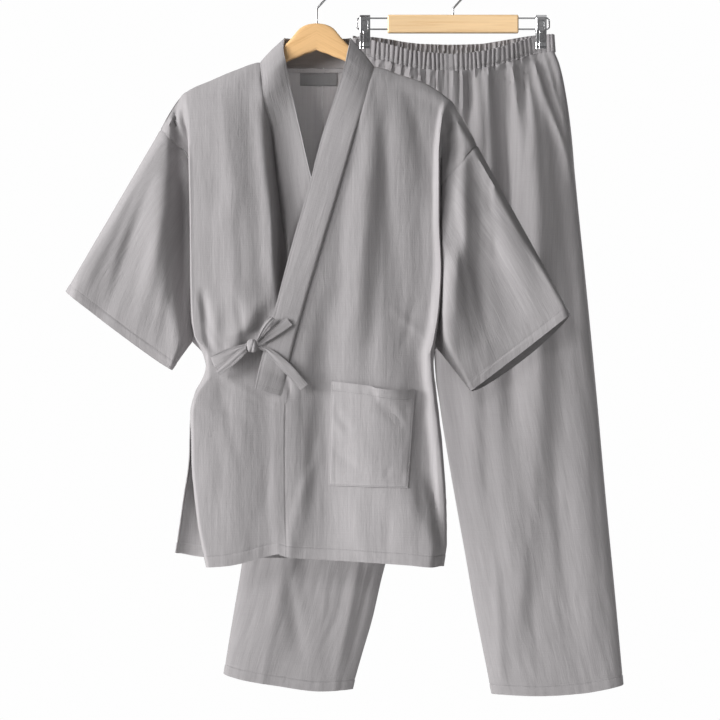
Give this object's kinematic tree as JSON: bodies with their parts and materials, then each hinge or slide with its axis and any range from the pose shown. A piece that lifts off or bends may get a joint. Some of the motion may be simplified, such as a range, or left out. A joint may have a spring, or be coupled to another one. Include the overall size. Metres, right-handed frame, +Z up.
{
  "type": "jinbei set",
  "caption": "Wrap-front summer jacket with wide half sleeves, side ties and a patch pocket on a wooden hanger, with matching elastic-waist trousers on a clip hanger.",
  "frame": {"origin": "inside the crown of the jacket hanger's hook, where a rail or peg bears", "axes": "+Z up, +X to the wearer's left (the viewer's right), +Y towards the wearer's back; the fronts face -Y"},
  "size_m": [0.843, 0.1677, 1.0912],
  "materials": {
    "cloth": "matt slubbed plain weave of cotton and linen in a light warm grey",
    "label_cloth": "woven tape, matt, dark grey, left blank",
    "hanger_wood": "clear satin lacquer",
    "bar_wood": "clear satin lacquer, paler",
    "steel": "bright plate"
  },
  "bodies": {
    "root": {"back_left": "cloth", "back_right": "cloth", "clip_hanger_bar": "bar_wood", "clip_hanger_hook": "steel", "clip_hanger_wire_left": "steel", "clip_hanger_wire_right": "steel", "clip_left_back": "steel", "clip_left_front": "steel", "clip_left_spring": "steel", "clip_right_back": "steel", "clip_right_front": "steel", "clip_right_spring": "steel", "collar": "cloth", "front_left": "cloth", "front_right": "cloth", "hanger_hook": "steel", "hanger_wood": "hanger_wood", "leg_left_back": "cloth", "leg_left_front": "cloth", "leg_right_back": "cloth", "leg_right_front": "cloth", "neck_label": "label_cloth", "neck_tape": "cloth", "pocket": "cloth", "sleeve_left": "cloth", "sleeve_right": "cloth", "tie_knot": "cloth", "tie_left_loop": "cloth", "tie_left_tail": "cloth", "tie_right_end": "cloth", "tie_right_loop": "cloth", "tie_right_tail": "cloth", "tie_side_strip": "cloth", "waistband_back": "cloth", "waistband_front": "cloth"}
  },
  "joints": []
}
